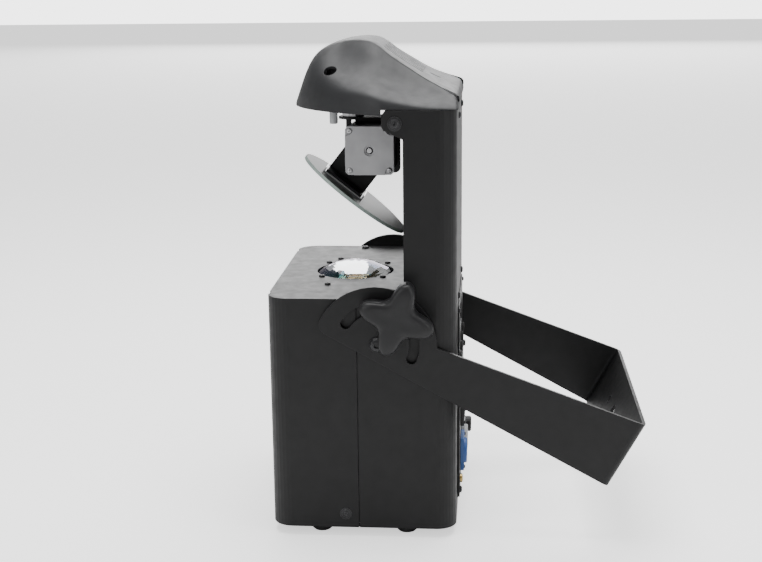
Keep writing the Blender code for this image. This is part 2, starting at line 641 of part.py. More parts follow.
def make_fan_frame():
    frame = prism_node("fan_frame", rounded_rectangle((-35, BEAM_Y - 35), (35, BEAM_Y + 35), 4, 3), "Z",
                       FAN_LOW, FAN_LOW + 15, "black_plastic")
    cut_prisms(frame, (circle(BEAM, 32, 32), "Z", FAN_LOW + 3, FAN_LOW + 20))
    sectors = []
    for start in (8, 98, 188, 278):
        sectors.append((arc(BEAM, 30, start, start + 74, 6) + arc(BEAM, 13, start + 66, start + 8, 4),
                        "Z", FAN_LOW - 2, FAN_LOW + 5))
    cut_prisms(frame, *sectors)


def make_fan_rotor():
    low = FAN_LOW + 3 + GAP
    rotor = lathe_node("fan_rotor", [(0, low), (13, low), (13, low + 10.5), (0, low + 10.5)], "Z", BEAM,
                       "black_plastic", 20, origin=(0, BEAM_Y, low))
    bm = bmesh.new()
    for i in range(7):
        turn = Matrix.Rotation(2 * math.pi * i / 7, 3, "Z")
        rings = []
        for level, lean in ((low + 0.8, -4.5), (low + 9.6, 4.5)):
            ring = [(11, lean * 0.5 - 0.7), (30.5, lean - 0.7), (30.5, lean + 0.7), (11, lean * 0.5 + 0.7)]
            rings.append([turn @ Vector((x, y, 0)) + Vector((0, BEAM_Y, level)) for x, y in ring])
        add_rings(bm, rings)
    combine(rotor, "UNION", bm)


def make_power_supply():
    low = BODY_BOTTOM + 2 + GAP
    outline = [(44, low), (100, low), (100, low + 34), (97, low + 38), (56, low + 38),
               (56, low + 16), (44, low + 16)]
    prism_node("power_supply", outline, "Y", -58, 30, "steel")


def make_main_board():
    outline = [(-100, 16), (-44, 16), (-44, 17.6), (-54, 17.6), (-54, 26), (-66, 26), (-66, 17.6),
               (-80, 17.6), (-80, 22), (-92, 22), (-92, 17.6), (-100, 17.6)]
    prism_node("main_board", outline, "Y", -58, 30, "board")


# ---- rear panel ---------------------------------------------------------------------------------
def make_connector_plate():
    outline = rounded_rectangle((-PLATE_HALF, PLATE_LOW), (PLATE_HALF, PLATE_HIGH), 3, 3)
    plate = prism_node("connector_plate", outline, "Y", REAR + GAP, PLATE_FACE, "black_paint")
    holes = [(circle((x, z), 11.9, 16), "Y", REAR - 5, REAR + 8) for x in SOCKET_X for z in (POWER_Z, DATA_Z)]
    holes.append((circle((FUSE_X, POWER_Z), 7.4, 16), "Y", REAR - 5, REAR + 8))
    holes.append((circle((EARTH_X, EARTH_Z), 2.4, 12), "Y", REAR - 5, REAR + 8))
    cut_prisms(plate, *holes)


def make_socket(name, x, z, look, depth, mouth, core, core_end):
    """Chassis socket: a square flange, and a barrel with a round mouth and a contact block in it."""
    face, floor = PLATE_FACE + GAP, 70.0
    outline = rounded_rectangle((x - FLANGE_W / 2, z - FLANGE_H / 2), (x + FLANGE_W / 2, z + FLANGE_H / 2), 2, 2)
    socket = prism_node(name, outline, "Y", face, face + 3, look)
    cut_prisms(socket, (circle((x, z), mouth + 1, 20), "Y", face - 2, face + 6))
    lip = face + depth
    bm = bmesh.new()
    add_lathe(bm, [(0, floor - 8), (11.5, floor - 8), (11.5, lip - 1), (10.7, lip), (mouth, lip), (mouth, floor),
                   (core, floor), (core, core_end - 1), (core - 1, core_end), (0, core_end)], "Y", (x, z), 20)
    combine(socket, "UNION", bm)
    return socket


def make_sockets():
    power_in, power_out = SOCKET_X
    make_socket("power_in_socket", power_in, POWER_Z, "blue_plastic", 5.6, 9.2, 5.2, 83)
    make_socket("power_out_socket", power_out, POWER_Z, "grey_plastic", 5.6, 9.2, 5.2, 83)
    make_socket("dmx_in_socket", power_in, DATA_Z, "black_plastic", 3.6, 8.6, 2.0, 72)
    outlet = make_socket("dmx_out_socket", power_out, DATA_Z, "black_plastic", 3.6, 8.6, 7.2, 84.2)
    slot = rectangle((power_out - 3.5, DATA_Z + 9.4), (power_out + 3.5, DATA_Z + 14.2))
    cut_prisms(outlet, (slot, "Y", PLATE_FACE - 1, PLATE_FACE + 12))


def make_dmx_latch():
    x, z = SOCKET_X[1], DATA_Z
    face = PLATE_FACE + GAP
    outline = rectangle((x - 3.1, z + 9.8), (x + 3.1, z + 13.8))
    prism_node("dmx_out_latch", outline, "Y", face + 1.6, face + 5.0, "grey_plastic", (x, face, z + 11.8))


def make_fuse_holder():
    face = PLATE_FACE + GAP
    profile = [(0, 66), (7, 66), (7, face), (9, face), (9, face + 2), (0, face + 2)]
    lathe_node("fuse_holder", profile, "Y", (FUSE_X, POWER_Z), "black_plastic", 20)
    cap = face + 2 + GAP
    profile = [(0, cap), (7.4, cap), (7.4, cap + 5), (6.4, cap + 6), (0, cap + 6)]
    knob = lathe_node("fuse_cap", profile, "Y", (FUSE_X, POWER_Z), "black_plastic", 20,
                      origin=(FUSE_X, cap, POWER_Z))
    slot = rectangle((FUSE_X - 5.5, POWER_Z - 0.7), (FUSE_X + 5.5, POWER_Z + 0.7))
    cut_prisms(knob, (slot, "Y", cap + 4.4, cap + 9))


def make_earth_screw():
    face = PLATE_FACE + GAP
    profile = [(0, REAR + GAP), (2.0, REAR + GAP), (2.0, face), (4.0, face), (4.0, face + 1.6),
               (2.6, face + 2.4), (0, face + 2.4)]
    lathe_node("earth_screw", profile, "Y", (EARTH_X, EARTH_Z), "brass", 16)


def make_control_panel():
    outline = rounded_rectangle((-66, 136), (66, 196), 4, 3)
    panel = prism_node("control_panel", outline, "Y", REAR + GAP, REAR + GAP + 1, "black_plastic")
    holes = [(circle((x, BUTTON_Z), 5.0, 16), "Y", REAR - 3, REAR + 5) for x in BUTTON_X.values()]
    holes.append((rectangle((-29, 161), (29, 187)), "Y", REAR - 3, REAR + 5))
    cut_prisms(panel, *holes)
    display = rectangle((-28.7, 161.3), (28.7, 186.7))
    prism_node("display_window", display, "Y", REAR - 6, REAR + 0.8, "glass")


def make_buttons():
    """Round keys that stand out of the rear wall and press inwards."""
    for name, x in BUTTON_X.items():
        profile = [(0, 74), (4.5, 74), (4.5, 83.6), (3.6, 84.4), (0, 84.6)]
        lathe_node(name, profile, "Y", (x, BUTTON_Z), "rubber", 12, origin=(x, REAR, BUTTON_Z))


# ---- yoke: drawn from its pivot, Y along the arms, Z across them -----------------------------------
YOKE_ORIGIN = (0, PIVOT_Y, PIVOT_Z)


def yoke_trimmings(margin):
    """All that is cut off the strip's sides: what lies round an arm with a straight lower edge, a
    round head and an upper edge that widens to the crossbar."""
    beyond, outside = YOKE_LENGTH + margin, YOKE_HIGH + margin
    head = arc((0, -HEAD_DROP), HEAD_RADIUS, 28.5, 183, 24)
    corner = arc((-43.2, YOKE_LOW + 9.0), 9.0, 195, 270, 4)
    crossbar = [(beyond, YOKE_HIGH), (YOKE_LENGTH, YOKE_HIGH)]
    frame = [(beyond, YOKE_LOW), (beyond, -outside), (-outside, -outside), (-outside, outside),
             (beyond, outside)]
    return crossbar + head + corner + frame


def make_yoke():
    """Flat strip bent into a U, trimmed to its side outline, with clamp slots and pivot holes."""
    bend, inner_bend = 6.0, 3.0
    back, reach = YOKE_LENGTH, 70.0
    strip = ([(YOKE_OUTER, -reach)] + arc((YOKE_OUTER - bend, back - bend), bend, 0, 90, 5)
             + arc((-YOKE_OUTER + bend, back - bend), bend, 90, 180, 5) + [(-YOKE_OUTER, -reach)])
    back -= YOKE_OUTER - YOKE_INNER
    strip += ([(-YOKE_INNER, -reach)]
              + arc((-YOKE_INNER + inner_bend, back - inner_bend), inner_bend, 180, 90, 5)
              + arc((YOKE_INNER - inner_bend, back - inner_bend), inner_bend, 90, 0, 5)
              + [(YOKE_INNER, -reach)])
    yoke = prism_node("yoke", strip, "Z", -reach, reach, "black_paint", YOKE_ORIGIN, YOKE_ANGLE)
    sides = ("X", -130, 130)
    cut_prisms(yoke, (yoke_trimmings(40), *sides))
    slot = arc_slot((0, 0), SLOT_RADIUS, SLOT_HALF_WIDTH, *SLOT_ENDS, 16)
    middle = (YOKE_LOW + YOKE_HIGH) / 2
    bar_holes = [(circle((x, middle), radius, 12), "Y", YOKE_LENGTH - 8, YOKE_LENGTH + 8)
                 for x, radius in ((0, 6.5), (-34, 4.2), (34, 4.2))]
    cut_prisms(yoke, (slot, *sides), (circle((0, 0), 4.4, 16), *sides), *bar_holes)


def star_radius(angle, lobe):
    """Four-lobed outline: round fingers 32 long with hollows of 17.5 between them."""
    return 17.5 + 14.5 * ((1 + math.cos(4 * (angle - lobe))) / 2) ** 1.4


def make_knobs():
    """Star knob with its threaded stud, which clamps the yoke through the arc slot."""
    steps = 36
    angles = [2 * math.pi * i / steps for i in range(steps)]
    lobe = math.radians(71)
    levels = [(102, 0, 3.6), (117, 0, 3.6), (117, 0, 10.5), (121, 0, 10.5), (121.6, 0.92, 0),
              (123, 1, 0), (133.5, 1, 0), (136, 0.94, 0), (137.6, 0.8, 0), (138.4, 0.45, 0)]
    for side, sign in (("right", 1), ("left", -1)):
        rings = []
        for x, scale, radius in levels:
            ring = []
            for angle in angles:
                r = radius or star_radius(angle, lobe) * scale
                ring.append((sign * x, CLAMP_Y + r * math.cos(angle), CLAMP_Z + r * math.sin(angle)))
            rings.append(ring)
        bm = bmesh.new()
        add_rings(bm, rings)
        solid(f"knob_{side}", bm, "black_plastic", (0, CLAMP_Y, CLAMP_Z))


def make_pivot_bolts():
    for side, sign in (("right", 1), ("left", -1)):
        head = YOKE_OUTER + GAP
        profile = [(0, 102), (4, 102), (4, 110.2), (8, 110.2), (8, 111.2), (4, 111.2), (4, head), (6.5, head),
                   (6.5, head + 1.2), (5, head + 3), (2.6, head + 3.4), (2.3, head + 1.2), (0, head + 1.2)]
        profile = [(r, sign * x) for r, x in profile]
        lathe_node(f"pivot_bolt_{side}", profile, "X", (PIVOT_Y, PIVOT_Z), "black_steel", 12)


def build():
    clear_scene()
    make_base_plate()
    make_front_cover()
    make_rear_shell()
    make_column_front_panel()
    make_feet()
    make_ear_screws()
    make_hood()
    make_hood_chassis()
    make_pan_motor()
    make_pan_stop_post()
    make_pan_hub()
    make_pan_bracket()
    make_tilt_motor()
    make_tilt_shaft()
    make_mirror_bracket()
    make_mirror_tray()
    make_mirror()
    make_front_lens()
    make_lens_retainer()
    make_optics_frame()
    make_wheel("gobo_wheel", WHEEL_OFFSET, 122.0, 8, 10.5)
    make_wheel("colour_wheel", -WHEEL_OFFSET, 115.0, 8, 11.5)
    make_wheel_motor("gobo_motor", WHEEL_OFFSET)
    make_wheel_motor("colour_motor", -WHEEL_OFFSET)
    make_light_tube()
    make_condenser_lens()
    make_led_board()
    make_heatsink()
    make_fan_frame()
    make_fan_rotor()
    make_power_supply()
    make_main_board()
    make_connector_plate()
    make_sockets()
    make_dmx_latch()
    make_fuse_holder()
    make_earth_screw()
    make_control_panel()
    make_buttons()
    make_yoke()
    make_knobs()
    make_pivot_bolts()


build()
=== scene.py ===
"""Moving-mirror stage light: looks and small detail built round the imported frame."""
import json
import math

import bpy
import bmesh
from mathutils import Matrix, Vector


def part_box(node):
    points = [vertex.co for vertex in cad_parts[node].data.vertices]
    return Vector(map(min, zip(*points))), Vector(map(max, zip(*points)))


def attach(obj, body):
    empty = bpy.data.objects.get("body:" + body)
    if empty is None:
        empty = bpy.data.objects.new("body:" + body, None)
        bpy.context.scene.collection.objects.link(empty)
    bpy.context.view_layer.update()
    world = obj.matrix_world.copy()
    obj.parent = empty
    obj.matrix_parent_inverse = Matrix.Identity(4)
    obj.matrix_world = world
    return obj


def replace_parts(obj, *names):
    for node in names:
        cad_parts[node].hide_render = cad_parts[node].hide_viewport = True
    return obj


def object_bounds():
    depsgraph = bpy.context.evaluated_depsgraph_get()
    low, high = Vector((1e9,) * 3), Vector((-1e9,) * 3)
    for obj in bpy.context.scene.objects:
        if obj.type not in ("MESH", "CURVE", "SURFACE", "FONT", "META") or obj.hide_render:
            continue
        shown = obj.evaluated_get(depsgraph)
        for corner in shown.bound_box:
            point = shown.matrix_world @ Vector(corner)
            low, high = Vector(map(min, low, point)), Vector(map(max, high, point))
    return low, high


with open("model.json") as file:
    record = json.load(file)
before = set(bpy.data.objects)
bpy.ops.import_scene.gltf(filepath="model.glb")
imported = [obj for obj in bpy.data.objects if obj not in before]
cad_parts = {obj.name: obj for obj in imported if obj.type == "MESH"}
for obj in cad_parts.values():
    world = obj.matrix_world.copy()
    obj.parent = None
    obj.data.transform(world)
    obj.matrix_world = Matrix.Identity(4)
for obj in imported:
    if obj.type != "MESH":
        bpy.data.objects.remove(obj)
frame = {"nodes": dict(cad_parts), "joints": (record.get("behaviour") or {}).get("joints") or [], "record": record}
CAD_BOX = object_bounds()

MM = 0.001
X, Y, Z = Vector((1, 0, 0)), Vector((0, 1, 0)), Vector((0, 0, 1))
SIDES = (("right", 1), ("left", -1))
SHARP_ANGLE = math.radians(32)
MIRROR_LEAN = math.radians(38)


# ---- node materials -----------------------------------------------------------------------------
def new_material(name):
    material = bpy.data.materials.new(name)
    material.use_nodes = True
    tree = material.node_tree
    shader = tree.nodes["Principled BSDF"]
    return material, tree, shader


def link(tree, a, out, b, into):
    tree.links.new(a.outputs[out], b.inputs[into])


def coordinates(tree, stretch=(1, 1, 1)):
    place = tree.nodes.new("ShaderNodeTexCoord")
    mapping = tree.nodes.new("ShaderNodeMapping")
    mapping.inputs["Scale"].default_value = stretch
    link(tree, place, "Object", mapping, "Vector")
    return mapping


def noise(tree, source, scale, detail=3.0, rough=0.55):
    node = tree.nodes.new("ShaderNodeTexNoise")
    node.inputs["Scale"].default_value = scale
    node.inputs["Detail"].default_value = detail
    node.inputs["Roughness"].default_value = rough
    link(tree, source, "Vector", node, "Vector")
    return node


def spread(tree, source, out, low, high, start=0.3, stop=0.7):
    node = tree.nodes.new("ShaderNodeMapRange")
    node.inputs["From Min"].default_value = start
    node.inputs["From Max"].default_value = stop
    node.inputs["To Min"].default_value = low
    node.inputs["To Max"].default_value = high
    link(tree, source, out, node, "Value")
    return node


def surface(name, dark, light, rough, metallic=0.0, grain=900.0, depth=0.00004, stretch=(1, 1, 1),
            mottle=35.0, edge=0.0005, edge_highlight=None, coat=0.0, specular=0.5):
    """Mottled colour and roughness, fine grain, softened edges and a painted highlight as a paler line along them.
    """
    material, tree, shader = new_material(name)
    shader.inputs["Metallic"].default_value = metallic
    shader.inputs["Coat Weight"].default_value = coat
    shader.inputs["Specular IOR Level"].default_value = specular
    broad = noise(tree, coordinates(tree), mottle)
    fine = noise(tree, coordinates(tree, stretch), grain, 2.0, 0.5)
    ramp = tree.nodes.new("ShaderNodeValToRGB")
    ramp.color_ramp.elements[0].position, ramp.color_ramp.elements[1].position = 0.3, 0.7
    ramp.color_ramp.elements[0].color = (*dark, 1)
    ramp.color_ramp.elements[1].color = (*light, 1)
    link(tree, broad, "Fac", ramp, "Fac")
    bevel = tree.nodes.new("ShaderNodeBevel")
    bevel.samples = 4
    bevel.inputs["Radius"].default_value = edge
    bump = tree.nodes.new("ShaderNodeBump")
    bump.inputs["Strength"].default_value = 0.5
    bump.inputs["Distance"].default_value = depth
    link(tree, fine, "Fac", bump, "Height")
    link(tree, bevel, "Normal", bump, "Normal")
    link(tree, bump, "Normal", shader, "Normal")
    colour = ramp.outputs["Color"]
    # painted highlight: a paler colour mixed in where the softened edge normal leans away from the surface's own
    # normal
    if edge_highlight:
        geometry = tree.nodes.new("ShaderNodeNewGeometry")
        across = tree.nodes.new("ShaderNodeVectorMath")
        across.operation = "DOT_PRODUCT"
        link(tree, bevel, "Normal", across, 0)
        link(tree, geometry, "Normal", across, 1)
        edge_highlight_mask = spread(tree, across, "Value", 1.0, 0.0, 0.8, 0.985)
        mix = tree.nodes.new("ShaderNodeMix")
        mix.data_type = "RGBA"
        link(tree, edge_highlight_mask, "Result", mix, 0)
        link(tree, ramp, "Color", mix, 6)
        mix.inputs[7].default_value = (*edge_highlight, 1)
        colour = mix.outputs[2]
    tree.links.new(colour, shader.inputs["Base Color"])
    varied = spread(tree, noise(tree, coordinates(tree, stretch), mottle * 3), "Fac",
                    rough - 0.05, rough + 0.06)
    link(tree, varied, "Result", shader, "Roughness")
    return material


def glass(name, tint, film=0.0, rough=0.02):
    material, tree, shader = new_material(name)
    shader.inputs["Transmission Weight"].default_value = 1.0
    shader.inputs["IOR"].default_value = 1.5
    if film:
        shader.inputs["Thin Film Thickness"].default_value = film
        shader.inputs["Thin Film IOR"].default_value = 1.38
    haze = noise(tree, coordinates(tree), 60)
    ramp = tree.nodes.new("ShaderNodeValToRGB")
    ramp.color_ramp.elements[0].color = (*[c * 0.96 for c in tint], 1)
    ramp.color_ramp.elements[1].color = (*tint, 1)
    link(tree, haze, "Fac", ramp, "Fac")
    link(tree, ramp, "Color", shader, "Base Color")
    link(tree, spread(tree, haze, "Fac", rough, rough + 0.03), "Result", shader, "Roughness")
    return material


def mirror_finish(name, facing):
    """Silvered on the side that faces the given way, grey paint on the back, green glass at the rim."""
    material, tree, shader = new_material(name)
    place = tree.nodes.new("ShaderNodeTexCoord")
    across = tree.nodes.new("ShaderNodeVectorMath")
    across.operation = "DOT_PRODUCT"
    across.inputs[1].default_value = facing
    link(tree, place, "Normal", across, 0)
    ramp = tree.nodes.new("ShaderNodeValToRGB")
    ramp.color_ramp.interpolation = "CONSTANT"
    elements = ramp.color_ramp.elements
    elements[0].color = (0.13, 0.133, 0.132, 1)
    elements[1].position, elements[1].color = 0.25, (0.33, 0.4, 0.37, 1)
    silver = elements.new(0.75)
    silver.color = (0.86, 0.88, 0.87, 1)
    share = spread(tree, across, "Value", 0.0, 1.0, -1.0, 1.0)
    link(tree, share, "Result", ramp, "Fac")
    smear = noise(tree, coordinates(tree), 45)
    stain = tree.nodes.new("ShaderNodeMix")
    stain.data_type, stain.blend_type = "RGBA", "MULTIPLY"
    stain.inputs[0].default_value = 0.12
    link(tree, ramp, "Color", stain, 6)
    link(tree, smear, "Color", stain, 7)
    tree.links.new(stain.outputs[2], shader.inputs["Base Color"])
    silvered = spread(tree, share, "Result", 0.0, 1.0, 0.7, 0.8)
    link(tree, silvered, "Result", shader, "Metallic")
    link(tree, spread(tree, share, "Result", 0.42, 0.02, 0.7, 0.8), "Result", shader, "Roughness")
    return material


# The edge colours given to the black paint, moulded plastic, blackened steel and aluminium are painted highlights
# along their edges.
LOOKS = {
    "black_paint": surface("satin_powder_coat", (0.0035, 0.0035, 0.0038), (0.005, 0.005, 0.0054), 0.45,
                           grain=1500, depth=0.00003, edge=0.0005, edge_highlight=(0.03, 0.03, 0.032),
                           specular=0.34),
    "hood_plastic": surface("textured_hood", (0.013, 0.0135, 0.0148), (0.0165, 0.017, 0.0187), 0.5,
                            grain=1900, depth=0.00009, edge=0.0006, specular=0.4),
    "black_plastic": surface("moulded_black", (0.0065, 0.0065, 0.0072), (0.009, 0.009, 0.01), 0.42,
                             grain=2200, depth=0.00004, edge=0.0009, edge_highlight=(0.04, 0.04, 0.043),
                             specular=0.4),
    "rubber": surface("matt_rubber", (0.016, 0.016, 0.016), (0.03, 0.03, 0.03), 0.82, grain=2600,
                      depth=0.00006, specular=0.3),
    "steel": surface("brushed_steel", (0.42, 0.42, 0.43), (0.6, 0.6, 0.61), 0.32, 1.0, 500, 0.00002,
                     (1, 14, 1)),
    "black_steel": surface("blackened_steel", (0.012, 0.012, 0.013), (0.03, 0.03, 0.032), 0.34, 0.4,
                           1400, 0.00002, edge=0.0003, edge_highlight=(0.14, 0.14, 0.145)),
    "aluminium": surface("cast_aluminium", (0.3, 0.3, 0.31), (0.4, 0.4, 0.41), 0.46, 0.6, 700,
                         0.00007, edge=0.0004, edge_highlight=(0.5, 0.5, 0.51)),
    "blue_plastic": surface("socket_blue", (0.035, 0.105, 0.33), (0.05, 0.14, 0.41), 0.4, grain=1600,
                            coat=0.1),
    "grey_plastic": surface("socket_grey", (0.38, 0.39, 0.4), (0.48, 0.49, 0.5), 0.45, grain=1600),
    "glass": glass("clear_glass", (0.93, 0.97, 0.955)),
    "board": surface("circuit_board", (0.008, 0.06, 0.03), (0.02, 0.13, 0.06), 0.38, grain=600,
                     mottle=260, coat=0.3),
    "brass": surface("turned_brass", (0.52, 0.36, 0.13), (0.68, 0.5, 0.22), 0.3, 1.0, 900, 0.00002),
}
COATED = glass("coated_lens", (0.95, 0.97, 0.98), 420.0, 0.01)
MIRROR_SIDE = Vector((0, -math.sin(MIRROR_LEAN), -math.cos(MIRROR_LEAN)))
LOOKS["mirror"] = mirror_finish("front_silvered_mirror", MIRROR_SIDE)

slots = {row["node"]: row["material_slot"] for row in frame["record"]["subparts"]}
BRIGHT = (0.6, 0.6, 0.61), (0.75, 0.75, 0.76)
SPECIAL = {"front_lens": COATED,
           "mirror_tray": surface("bright_tray", *BRIGHT, 0.3, 0.9, 700, 0.00003),
           "pan_hub": surface("bright_hub", *BRIGHT, 0.28, 1.0, 700, 0.00003)}
for node, obj in frame["nodes"].items():
    look = SPECIAL.get(node) or LOOKS[slots[node]]
    obj.data.materials.clear()
    obj.data.materials.append(look)


# ---- small pieces -------------------------------------------------------------------------------
def corners(node):
    low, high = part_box(node)
    return Vector(low), Vector(high)


def panel_corners(low, high, inset):
    """(x, z) of a rear panel's four corners, each moved in by the inset."""
    return [(x, z) for z in (low.z + inset, high.z - inset) for x in (low.x + inset, high.x - inset)]


def socket_middle(node):
    """(x, z) of a rear socket's middle."""
    low, high = corners(node)
    return (low.x + high.x) / 2, (low.z + high.z) / 2


def stud_centre(side):
    """(y, z) of the axis that a star knob turns on."""
    joint = next(j for j in frame["joints"] if j["child"] == f"knob_{side}")
    return joint["pos_m"][1], joint["pos_m"][2]


def add_object(name, data):
    obj = bpy.data.objects.new(name, data)
    bpy.context.scene.collection.objects.link(obj)
    return obj


def mesh_from(name, bm):
    """Mesh made from a bmesh, which is freed."""
    mesh = bpy.data.meshes.new(name)
    bm.to_mesh(mesh)
    bm.free()
    return mesh


def axis_frame(at, axis, spin=0.0):
    turn = Vector(axis).to_track_quat("Z", "Y").to_matrix().to_4x4()
    return Matrix.Translation(Vector(at)) @ turn @ Matrix.Rotation(spin, 4, "Z")


def make_piece(name, bm, place, body, slot):
    bm.transform(place)
    bmesh.ops.recalc_face_normals(bm, faces=bm.faces)
    mesh = mesh_from(name, bm)
    mesh.shade_smooth()
    mesh.set_sharp_from_angle(angle=SHARP_ANGLE)
    mesh.materials.append(LOOKS[slot])
    obj = add_object(name, mesh)
    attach(obj, body)
    return obj


def skin(bm, rings):
    """Quads between equal rings, with both ends closed."""
    loops = [[bm.verts.new(p) for p in ring] for ring in rings]
    count = len(loops[0])
    for low, high in zip(loops, loops[1:]):
        for i in range(count):
            j = (i + 1) % count
            bm.faces.new((low[i], low[j], high[j], high[i]))
    bm.faces.new(loops[0][::-1])
    bm.faces.new(loops[-1])


def circle_ring(radius, height, steps):
    angles = [2 * math.pi * i / steps for i in range(steps)]
    return [(radius * math.cos(a), radius * math.sin(a), height) for a in angles]


def cross_ring(reach, half, height, steps):
    """Outline of a cross recess, as far from the middle as each direction allows."""
    ring = []
    for i in range(steps):
        a = 2 * math.pi * i / steps
        off = abs(math.sin(a - round(a / (math.pi / 2)) * math.pi / 2))
        r = min(reach, half / off) if off > 1e-6 else reach
        ring.append((r * math.cos(a), r * math.sin(a), height))
    return ring


# (share of the head's radius, share of its height), from the dome's edge up to the recess
SCREW_DOME = ((0.96, 0.42), (0.87, 0.66), (0.74, 0.83), (0.62, 0.93))
# (reach of an arm, half its width, height), as shares, at the recess's mouth and at its floor
SCREW_RECESS = ((0.54, 0.13, 0.97), (0.44, 0.10, 0.38))


def screw(name, at, axis, body, radius=3.0, height=1.9, washer=0.0, slot="black_steel", spin=0.4):
    """Domed cross-head screw, with a plain washer under it where one is given."""
    steps = 40
    r, h = radius * MM, height * MM
    lift = 0.5 * MM if washer else 0.05 * MM
    rings = [circle_ring(r * 0.98, lift, steps), circle_ring(r, lift + h * 0.18, steps)]
    for share, level in SCREW_DOME:
        rings.append(circle_ring(r * share, lift + h * level, steps))
    for reach, half, level in SCREW_RECESS:
        rings.append(cross_ring(r * reach, r * half, lift + h * level, steps))
    bm = bmesh.new()
    skin(bm, rings)
    if washer:
        w = washer * MM
        skin(bm, [circle_ring(w, 0.05 * MM, steps), circle_ring(w, 0.38 * MM, steps),
                  circle_ring(w * 0.96, 0.46 * MM, steps)])
    return make_piece(name, bm, axis_frame(at, axis, spin), body, slot)


def turned(name, profile, at, axis, body, slot, steps=40):
    """Ring turned from a closed (radius, height) outline in millimetres."""
    bm = bmesh.new()
    loops = [[bm.verts.new(p) for p in circle_ring(r * MM, h * MM, steps)] for r, h in profile]
    for low, high in zip(loops, loops[1:] + loops[:1]):
        for i in range(steps):
            j = (i + 1) % steps
            bm.faces.new((low[i], low[j], high[j], high[i]))
    return make_piece(name, bm, axis_frame(at, axis), body, slot)


# Screw places in millimetres: deck (x, y from the beam), rear (x, z), side (y, z from the cover's
# low corner) and socket (x, z from its middle).
DECK_SCREWS = ((27, -27.7), (27.5, 27.3), (-31, 27.3), (-31, -27.7), (-47.4, -18.7), (57.5, -18.9))
REAR_SCREWS = ((51.6, 360.5), (-51.6, 360.5), (51.6, 203), (-51.6, 203))
DECK_SIDE_SCREW_X = -99.3
SIDE_SCREW = (65.3, 12.7)
SOCKET_SCREW = (9.6, 12.2)
PLATE_SCREW_INSET = 6 * MM
PANEL_SCREW_INSET = 4.5 * MM
FLANGE_DEPTH = 3.3 * MM
MOTOR_SCREW_REACH = 17.2 * MM
MOTOR_SCREW_SINK = 1.6 * MM
WASHER_GAP = 0.4 * MM
WASHER_PROFILE = [(4.0, 0), (9.8, 0), (10, 0.3), (10, 1.5), (9.8, 1.8), (4.0, 1.8)]

# housing screws
cover_low, cover_high = corners("front_cover")
shell_low, shell_high = corners("rear_shell")
lens_low, lens_high = corners("front_lens")
beam_y = (lens_low.y + lens_high.y) / 2
deck = cover_high.z
for side, sign in SIDES:
    at = (sign * cover_high.x, cover_low.y + SIDE_SCREW[0] * MM, cover_low.z + SIDE_SCREW[1] * MM)
    screw(f"side_screw_{side}", at, sign * X, "housing", 3.4, 0.8, 5.2)
for i, (x, y) in enumerate(DECK_SCREWS):
    screw(f"deck_screw_{i + 1}", (x * MM, beam_y + y * MM, deck), Z, "housing", 2.8, 1.7)
screw("deck_side_screw", (DECK_SIDE_SCREW_X * MM, beam_y, deck), Z, "housing", 3.6, 2.2)
for i, (x, z) in enumerate(REAR_SCREWS):
    screw(f"rear_screw_{i + 1}", (x * MM, shell_high.y, z * MM), Y, "housing", 3.2, 2.0)

# rear panel screws
plate_low, plate_high = corners("connector_plate")
for i, (x, z) in enumerate(panel_corners(plate_low, plate_high, PLATE_SCREW_INSET)):
    screw(f"plate_screw_{i + 1}", (x, plate_high.y, z), Y, "housing", 3.2, 2.1)
panel_low, panel_high = corners("control_panel")
for i, (x, z) in enumerate(panel_corners(panel_low, panel_high, PANEL_SCREW_INSET)):
    screw(f"panel_screw_{i + 1}", (x, panel_high.y, z), Y, "housing", 2.0, 1.3)
for node in ("power_in_socket", "power_out_socket", "dmx_in_socket", "dmx_out_socket"):
    x, z = socket_middle(node)
    for end, s in (("low", -1), ("high", 1)):
        at = (x + s * SOCKET_SCREW[0] * MM, plate_high.y + FLANGE_DEPTH, z - s * SOCKET_SCREW[1] * MM)
        screw(f"{node}_screw_{end}", at, Y, "housing", 1.7, 1.1, spin=0.2 + s)

# tilt motor screws
cap_low, cap_high = corners("tilt_motor_cap")
centre_y, centre_z = (cap_low.y + cap_high.y) / 2, (cap_low.z + cap_high.z) / 2
for i, (sy, sz) in enumerate(((-1, -1), (1, -1), (-1, 1), (1, 1))):
    at = (cap_high.x - MOTOR_SCREW_SINK, centre_y + sy * MOTOR_SCREW_REACH, centre_z + sz * MOTOR_SCREW_REACH)
    screw(f"motor_screw_{i + 1}", at, X, "pan_head", 2.4, 1.3, slot="steel", spin=0.3 * i)

# washers under the star knobs, on their own studs
yoke_face = corners("yoke")[1].x
for side, sign in SIDES:
    seat = sign * (yoke_face + WASHER_GAP)
    turned(f"knob_washer_{side}", WASHER_PROFILE, (seat, *stud_centre(side)), sign * X,
           f"knob_{side}", "steel")


